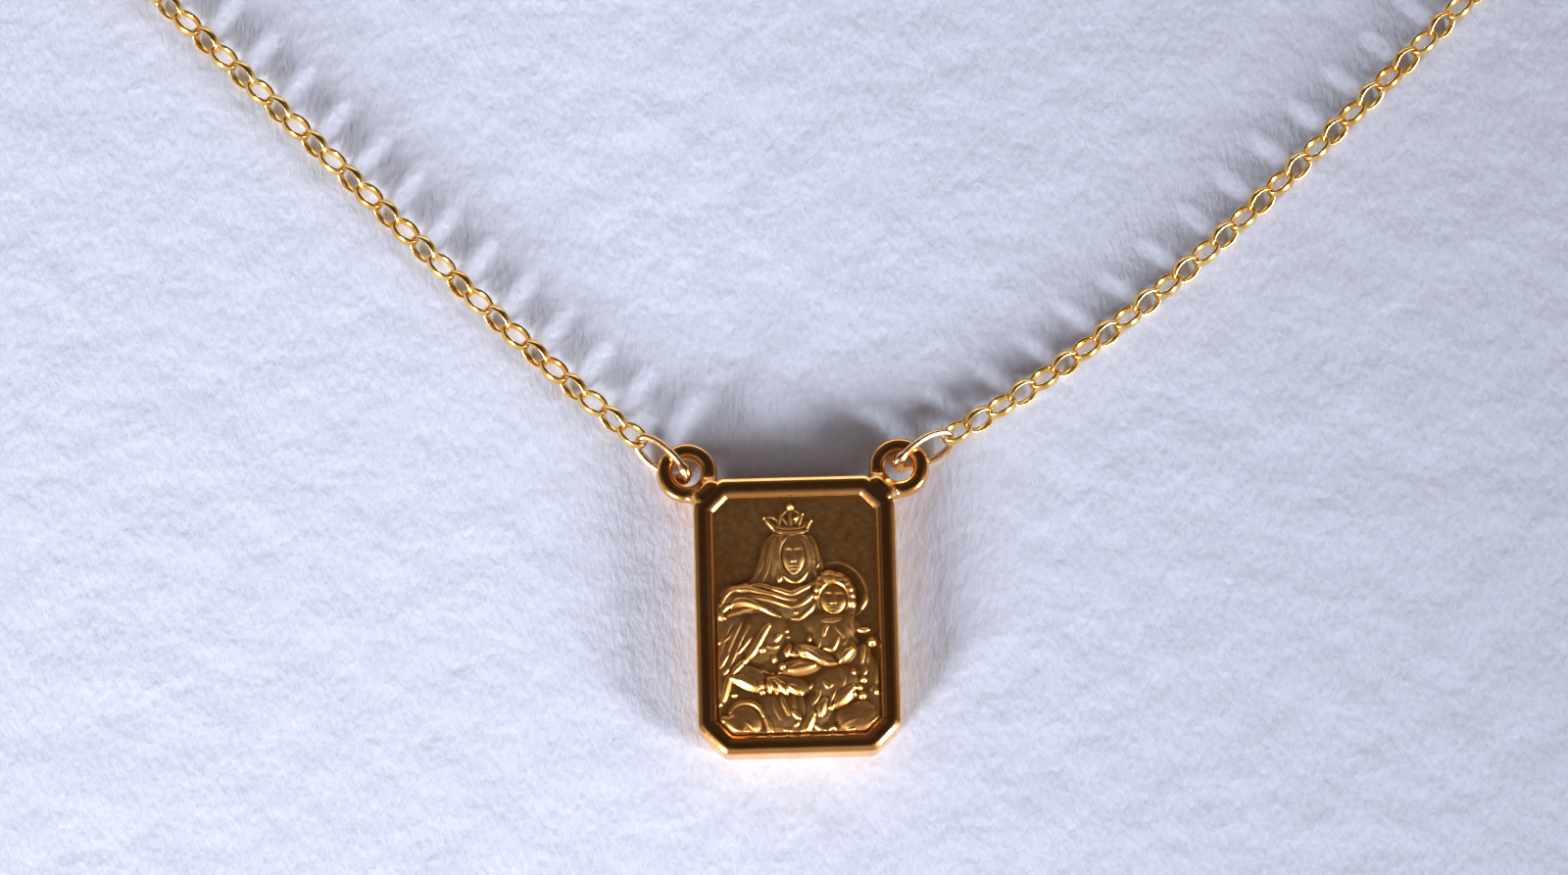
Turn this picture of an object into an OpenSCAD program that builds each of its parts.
/* [Medal] */
// Width of the medal
medal_w = 13; // [12.6:0.1:13.6]
// Height of the medal
medal_h = 18.2; // [17.8:0.1:18.8]
// Thickness of the medal
medal_t = 2.2; // [2.1:0.1:2.6]
// Length that each cut corner takes off a side
corner_cut = 1.7; // [1.5:0.1:1.8]
// Width of the bevel round both faces
bevel = 0.3; // [0.2:0.05:0.4]
// Width of the flat rim round the picture
rim_w = 0.5; // [0.4:0.05:0.6]
// Width of the slope from the rim down to the field
slope_w = 0.4; // [0.3:0.05:0.5]
// Depth of the field below the rim
field_depth = 0.4; // [0.36:0.02:0.5]

/* [Ears] */
// Radius of a ring-shaped ear, to the middle of its wire
ear_r = 1.46; // [1.4:0.02:1.5]
// Radius of an ear's wire
ear_wire = 0.51; // [0.48:0.01:0.52]
// Distance of an ear's centre from the medal's middle line
ear_x = 6.85; // [6.8:0.05:6.9]
// Height of an ear's centre above the medal's top edge
ear_rise = 0.6; // [0.5:0.05:0.65]
// Radius of the solder bead between an ear and its cut corner
solder_r = 0.85; // [0.7:0.05:0.9]

/* [Jump rings] */
// Length of a jump ring, between the middles of its wire
ring_len = 3.96; // [3.9:0.02:4.1]
// Width of a jump ring, between the middles of its wire
ring_w = 2.1; // [2.1:0.02:2.2]
// Radius of a jump ring's wire
ring_wire = 0.19; // [0.15:0.005:0.2]
// Angle at which a jump ring lies over and under its ear
ring_roll = 58; // [54:1:58]

/* [Chain] */
// Distance from one link to the next
pitch = 1.69; // [1.68:0.01:1.72]
// Width of a link, between the middles of its band
link_w = 1.5; // [1.45:0.01:1.55]
// Width of the band that a link is bent from
band_w = 0.46; // [0.4:0.01:0.48]
// Thickness of the band
band_t = 0.22; // [0.18:0.01:0.24]
// Angle at which each link leans, to one side and then the other
link_roll = 45; // [43:1:47]
// Angle by which the left chain is turned about its own line at the medal
left_twist = 12; // [0:1:12]
// Angle by which the right chain is turned about its own line at the medal
right_twist = 6; // [0:1:12]
// Air between two pieces that cross
wire_gap = 0.13; // [0.12:0.01:0.15]
// Length of chain over which it comes down from a ring to the surface
settle_len = 6; // [4:0.5:8]

/* [Loop] */
// Distance from the medal's middle to the clasp, along the loop
loop_y = 158; // [150:0.5:158]
// Direction in which the left jump ring points, up from the horizontal
left_angle = 40; // [39:0.5:41]
// Direction in which the right jump ring points, up from the horizontal
right_angle = 26.5; // [26:0.5:28]

/* [Clasp] */
// Radius of the clasp's round body, to the middle of its tube
clasp_r = 2.4; // [2.3:0.05:2.6]
// Radius of the clasp's tube
clasp_tube = 0.5; // [0.45:0.01:0.52]
// Radius of the clasp's small eye, to the middle of its wire
eye_r = 0.98; // [0.95:0.01:1]
// Radius of the eye's wire
eye_wire = 0.2; // [0.18:0.01:0.2]
// Radius of the thumb piece on the clasp's side
thumb_r = 0.5; // [0.4:0.05:0.6]

/* [Hidden] */
$fn = 32;

// Half the width of the band's flat faces, between its bevelled edges
half_flat = (band_w - band_t) / 2;
// How far a leaning band reaches below its middle
function reach(roll) = max(band_t / 2 * sin(roll) + half_flat * cos(roll), band_w / 2 * cos(roll));
// Height of a lying link's middle where its chain is turned by twist
function link_z(twist) = link_w / 2 * sin(link_roll + twist) + reach(link_roll + twist);

// Heights above the surface that the necklace lies on
lift = 0.01;
mid_z = medal_t / 2;
field_z = medal_t - field_depth;
eye_z = link_z(0) + lift;
end_ring_z = ring_w / 2 * sin(ring_roll) + ring_wire + 2 * lift;
clasp_tilt = asin((end_ring_z - clasp_tube) / (2 * clasp_r));
clasp_z = (end_ring_z + clasp_tube) / 2;

// Air between a ring's wire and a link's band, and between a ring's wire and the clasp's tube
ring_gap = 0.24;
clasp_gap = 0.67;

// How far a round end curves away from the flat face that hooks it
inner_r = (link_w - band_t) / 2;
end_sag = inner_r - sqrt(inner_r * inner_r - half_flat * half_flat);

// How far from the middle of the clasp's eye the last link ends, as a share of the eye's radius
eye_share = -0.15;

// Lengths between the middles of pieces that hook into each other
link_len = pitch + band_t + wire_gap + 2 * end_sag;
link_hook = ring_wire + band_t / 2 + ring_gap;
clasp_hook = clasp_tube + ring_wire + clasp_gap;

// Ends of the two chains: the middle of the last link's far wire
neck_len = clasp_tube + eye_wire + wire_gap;
eye_x = clasp_r + neck_len + eye_r;
right_end_x = eye_x + eye_share * eye_r;
left_end_x = clasp_r - clasp_hook + ring_len - link_hook;

// How far the links beside a ring rise and lean towards it, as a share of the whole way
settle_share = 0.75;

// Start of each path in its ear, as x and y from the ear's centre
left_start = [0.05, -0.25];
right_start = [-0.13, 0.2];
// Visible stretches of each path: length, and degrees that it turns
left_route = [[8, 2.5], [14, 4], [25, -1]];
right_route = [[10, 6.5], [18, 9.5], [20, 2]];

// Thickness of the thin sheets that the medal's body spans
sheet = 0.01;
// Length of a solder bead, as a share of its cut corner
bead_share = 0.8;
// Depth to which raised shapes are rooted under the field
root = 0.15;
// Width of a rounded shape's root, as a share of the shape
root_share = 1.05;
// Height of the raised ground that the figures stand on
ground_h = 0.1;

// Outline of the figures, from the crown's left end, anticlockwise: x, y
ground = [
  [-1.3, 5.3], [-1.9, 4.3], [-2.3, 3.1], [-3, 2], [-4.3, 1.5], [-5.05, 0.2], [-5.3, -2],
  [-5.35, -5.6], [-5, -6.8], [-4.3, -7.5], [-1.7, -7.8], [0.4, -7.8], [1.4, -6.9], [2.6, -5.9],
  [3.7, -5.4], [5, -5.3], [5, -3.6], [4.5, -2.8], [4.95, -1.6], [3.9, -1], [3.5, 0], [3.5, 1.7],
  [2.6, 2.5], [1.5, 2.3], [1.5, 3.6], [1, 5.2]
];

// Rounded shapes: x, y, radius, height
domes = [
  [-0.15, 3.75, 0.95, 0.32],
  [-0.25, 7.05, 0.28, 0.22],
  [-1.8, 6.3, 0.18, 0.18],
  [0.9, 6.1, 0.18, 0.17],
  [2.3, 1.3, 1.08, 0.34],
  [2.1, -1.7, 1.15, 0.26],
  [-0.6, -1.9, 1.2, 0.24],
  [-1.8, -4.8, 0.42, 0.3],
  [-0.4, -2.4, 0.4, 0.28],
  [-1.5, -2.9, 0.24, 0.27],
  [-1, -3.4, 0.22, 0.25],
  [4.7, -1.9, 0.34, 0.26],
  [-3.6, -6.9, 1, 0.24],
  [3.7, -6.9, 1.05, 0.22],
  [-0.6, -7.5, 0.4, 0.25],
  [2, -7.4, 0.36, 0.2]
];

// Straight folds: x and y of both ends, half width, height
folds = [
  [-1.7, 6.2, -1.1, 5.4, 0.16, 0.24],
  [-0.3, 6.9, -0.3, 5.6, 0.18, 0.25],
  [0.8, 6, 0.6, 5.5, 0.16, 0.23],
  [-4.1, -4.3, -2, -5.05, 0.22, 0.3],
  [-1.6, -5, 0.2, -5.2, 0.2, 0.29],
  [0.35, -2.45, 1.6, -3.15, 0.18, 0.28],
  [3.4, -5.3, 2.4, -6, 0.22, 0.32],
  [1.7, -5.8, 1.3, -6.7, 0.2, 0.3],
  [0.9, -6.9, 0.3, -7.7, 0.22, 0.31],
  [-1.1, -5.5, -0.7, -6.6, 0.16, 0.24],
  [4.2, -2.3, 4.1, -5.2, 0.24, 0.26],
  [-2.2, -6.6, -1.8, -7.7, 0.16, 0.22],
  [1.3, -4.7, 0.9, -6, 0.17, 0.25],
  [-4.6, -7, -3.9, -7.4, 0.2, 0.27]
];

// Curved folds: centre x and y, radius, first and last angle, half width, height
curls = [
  [-0.15, 6.7, 1.25, 222, 318, 0.16, 0.27],
  [2.35, 1.3, 2.1, -35, 95, 0.12, 0.2],
  [2.6, 5, 5, 168, 208, 0.2, 0.26],
  [1.6, 5, 3.3, 170, 215, 0.16, 0.27],
  [-2.2, 4.3, 3.6, -20, 12, 0.18, 0.25],
  [-2.7, -3, 4.8, 62, 118, 0.2, 0.32],
  [-2.7, -3.8, 4.8, 62, 116, 0.18, 0.3],
  [-3.2, -1.8, 2.5, 45, 135, 0.2, 0.34],
  [0.3, 4, 2.7, 240, 300, 0.16, 0.31],
  [0.3, 3.6, 2.9, 240, 300, 0.16, 0.28],
  [8.7, -10.8, 14.6, 136.6, 159.8, 0.2, 0.33],
  [1.4, -4.2, 6.4, 150, 196, 0.18, 0.26],
  [0.8, -4.4, 5.2, 148, 176, 0.16, 0.24],
  [-3.45, -6.9, 1.15, 30, 165, 0.14, 0.26],
  [1.8, -0.9, 2.3, 235, 310, 0.16, 0.27],
  [0.4, -0.4, 1.9, 330, 380, 0.15, 0.3],
  [3.4, -7.9, 1.5, 50, 140, 0.15, 0.24]
];

// Points along a path, each as x, y and heading
function chord(len, turn) = turn == 0 ? len : len * sin(turn / 2) / (turn / 2 * PI / 180);
function moved(p, len, turn) = [
  p[0] + chord(len, turn) * cos(p[2] + turn / 2),
  p[1] + chord(len, turn) * sin(p[2] + turn / 2),
  p[2] + turn
];
function along(route, p, s, i = 0) =
  s <= route[i][0] || i == len(route) - 1
    ? moved(p, s, route[i][1] * s / route[i][0])
    : along(route, moved(p, route[i][0], route[i][1]), s - route[i][0], i + 1);
function route_len(route, i = 0) = i == len(route) ? 0 : route[i][0] + route_len(route, i + 1);

// A straight stretch and one round bend that bring a path to the clasp's line at end_x, heading back
function closed(route, start, end_x) =
  let (
    p = along(route, start, route_len(route)),
    bend_r = (loop_y - p[1] - tan(p[2]) * (end_x - p[0])) / (1 / cos(p[2]) + 1),
    straight = (end_x - p[0] + bend_r * sin(p[2])) / cos(p[2])
  )
  concat(route, [[straight, 0], [bend_r * (180 - p[2]) * PI / 180, 180 - p[2]]]);

// Place of a chain's first link on its path, and the number of its last link, counted from 0
first = ring_len - link_hook + link_len / 2;
function last_link(path) = ceil((route_len(path) - link_len / 2 - first) / pitch);

// A plain octagon with cut corners, inset from the medal's outline
module outline(inset) {
  x = medal_w / 2 - inset;
  y = medal_h / 2 - inset;
  c = corner_cut - inset * (2 - sqrt(2));
  polygon([
    [x, c - y], [x, y - c], [x - c, y], [c - x, y],
    [-x, y - c], [-x, c - y], [c - x, -y], [x - c, -y]
  ]);
}

module slab(inset, z, h = sheet) {
  translate([0, 0, z]) linear_extrude(h) outline(inset);
}

module ring(r, wire) {
  rotate_extrude() translate([r, 0]) circle(r = wire);
}

// A long closed ring along X, lying flat; its child is its section.
// Its straight sides are cut to a thousandth.
module oval_ring(len, w) {
  half_side = round(500 * (len - w)) / 1000;
  for (m = [0, 1]) mirror([m, 0, 0]) translate([half_side, 0, 0]) rotate([0, 0, -90])
    rotate_extrude(angle = 180) translate([w / 2, 0]) children();
  for (m = [0, 1]) mirror([0, m, 0]) translate([-half_side, w / 2, 0]) rotate([90, 0, 90])
    linear_extrude(2 * half_side) children();
}

module link() {
  oval_ring(link_len, link_w) polygon([
    [-band_t / 2, -half_flat], [0, -band_w / 2], [band_t / 2, -half_flat],
    [band_t / 2, half_flat], [0, band_w / 2], [-band_t / 2, half_flat]
  ]);
}

// Radius of a round shape of which a given width and height stand proud
function cap_r(half_w, h) = (half_w * half_w + h * h) / (2 * h);

module dome(x, y, r, h) {
  translate([x, y, field_z]) intersection() {
    translate([0, 0, h - cap_r(r, h)]) sphere(r = cap_r(r, h));
    translate([0, 0, -root]) cylinder(r = r * root_share, h = root + 2 * h);
  }
}

module fold(x1, y1, x2, y2, half_w, h) {
  length = norm([x2 - x1, y2 - y1]);
  translate([x1, y1, field_z + h - cap_r(half_w, h)])
    rotate([0, 0, atan2(y2 - y1, x2 - x1)]) rotate([0, 90, 0]) cylinder(r = cap_r(half_w, h), h = length);
}

module curl(x, y, r, from, to, half_w, h) {
  translate([x, y, field_z + h - cap_r(half_w, h)]) rotate([0, 0, from])
    rotate_extrude(angle = to - from) translate([r, 0]) circle(r = cap_r(half_w, h));
}

module plate() {
  difference() {
    hull() {
      slab(bevel, 0);
      slab(0, bevel);
      slab(0, medal_t - bevel);
      slab(bevel, medal_t - sheet);
    }
    hull() {
      slab(bevel + rim_w + slope_w, field_z);
      slab(bevel + rim_w, medal_t, field_depth);
    }
  }
}

module relief() {
  translate([0, 0, field_z - root]) linear_extrude(root + ground_h) polygon(ground);
  for (d = domes) dome(d[0], d[1], d[2], d[3]);
  for (f = folds) fold(f[0], f[1], f[2], f[3], f[4], f[5]);
  for (c = curls) curl(c[0], c[1], c[2], c[3], c[4], c[5], c[6]);
}

module ear() {
  bead = bead_share * corner_cut * sqrt(2);
  translate([ear_x, medal_h / 2 + ear_rise, mid_z]) ring(ear_r, ear_wire);
  translate([(medal_w - corner_cut) / 2, (medal_h - corner_cut) / 2, mid_z])
    rotate([0, 0, -45]) rotate([0, 90, 0]) cylinder(r = solder_r, h = bead, center = true);
}

module medal() {
  color("goldenrod") {
    plate();
    relief();
    for (m = [0, 1]) mirror([m, 0, 0]) ear();
  }
}

// A ring that starts at p, leans by roll over its neighbour and has its middle at height z
module leaning_ring(p, z, roll) {
  translate([p[0], p[1], z]) rotate([0, 0, p[2]]) translate([ring_len / 2, 0, 0])
    rotate([roll, 0, 0]) oval_ring(ring_len, ring_w) circle(r = ring_wire);
}

// Links from the jump ring to the clasp, the first ones coming down from the ring
module chain(start, route, end_x, end_z, twist) {
  path = closed(route, start, end_x);
  last = route_len(path) - link_len / 2;
  steps = last_link(path);
  for (i = [0 : steps]) {
    s = first + (last - first) * i / steps;
    turned = twist * (1 - s / route_len(path));
    low = link_z(turned);
    down = max(0, 1 - (s - first) / settle_len);
    up = max(0, 1 - (last - s) / settle_len);
    slope = atan(((mid_z - low) * sign(down) - (end_z - low) * sign(up)) / settle_len);
    p = along(path, start, s);
    translate([p[0], p[1], low + settle_share * ((mid_z - low) * down + (end_z - low) * up)])
      rotate([0, 0, p[2]]) rotate([0, settle_share * slope, 0])
        rotate([turned + (i % 2 == 0 ? -link_roll : link_roll), 0, 0]) link();
  }
}

function start_at(offset, angle) = [ear_x + offset[0], medal_h / 2 + ear_rise + offset[1], angle];

module jump_ring_left() {
  color("gold") mirror([1, 0, 0]) leaning_ring(start_at(left_start, left_angle), mid_z, ring_roll);
}

module jump_ring_right() {
  color("gold") leaning_ring(start_at(right_start, right_angle), mid_z, ring_roll);
}

module chain_left() {
  color("gold") mirror([1, 0, 0])
    chain(start_at(left_start, left_angle), left_route, left_end_x, end_ring_z, left_twist);
}

module chain_right() {
  color("gold") chain(start_at(right_start, right_angle), right_route, right_end_x, eye_z, right_twist);
}

// It leans the other way than the last link that it holds
module end_ring() {
  last = last_link(closed(left_route, start_at(left_start, left_angle), left_end_x));
  color("gold") mirror([1, 0, 0])
    leaning_ring([left_end_x + link_hook, loop_y, 180], end_ring_z, last % 2 == 0 ? ring_roll : -ring_roll);
}

module clasp() {
  color("goldenrod") translate([0, loop_y, 0]) {
    translate([0, 0, clasp_z]) rotate([0, clasp_tilt, 0]) {
      ring(clasp_r, clasp_tube);
      translate([0, clasp_r + clasp_tube, 0]) sphere(r = thumb_r);
    }
    translate([eye_x, 0, eye_z]) ring(eye_r, eye_wire);
    translate([clasp_r, 0, clasp_tube])
      rotate([0, 90 - atan((eye_z - clasp_tube) / neck_len), 0]) cylinder(r = eye_wire, h = neck_len);
  }
}

medal();
jump_ring_left();
jump_ring_right();
chain_left();
chain_right();
end_ring();
clasp();
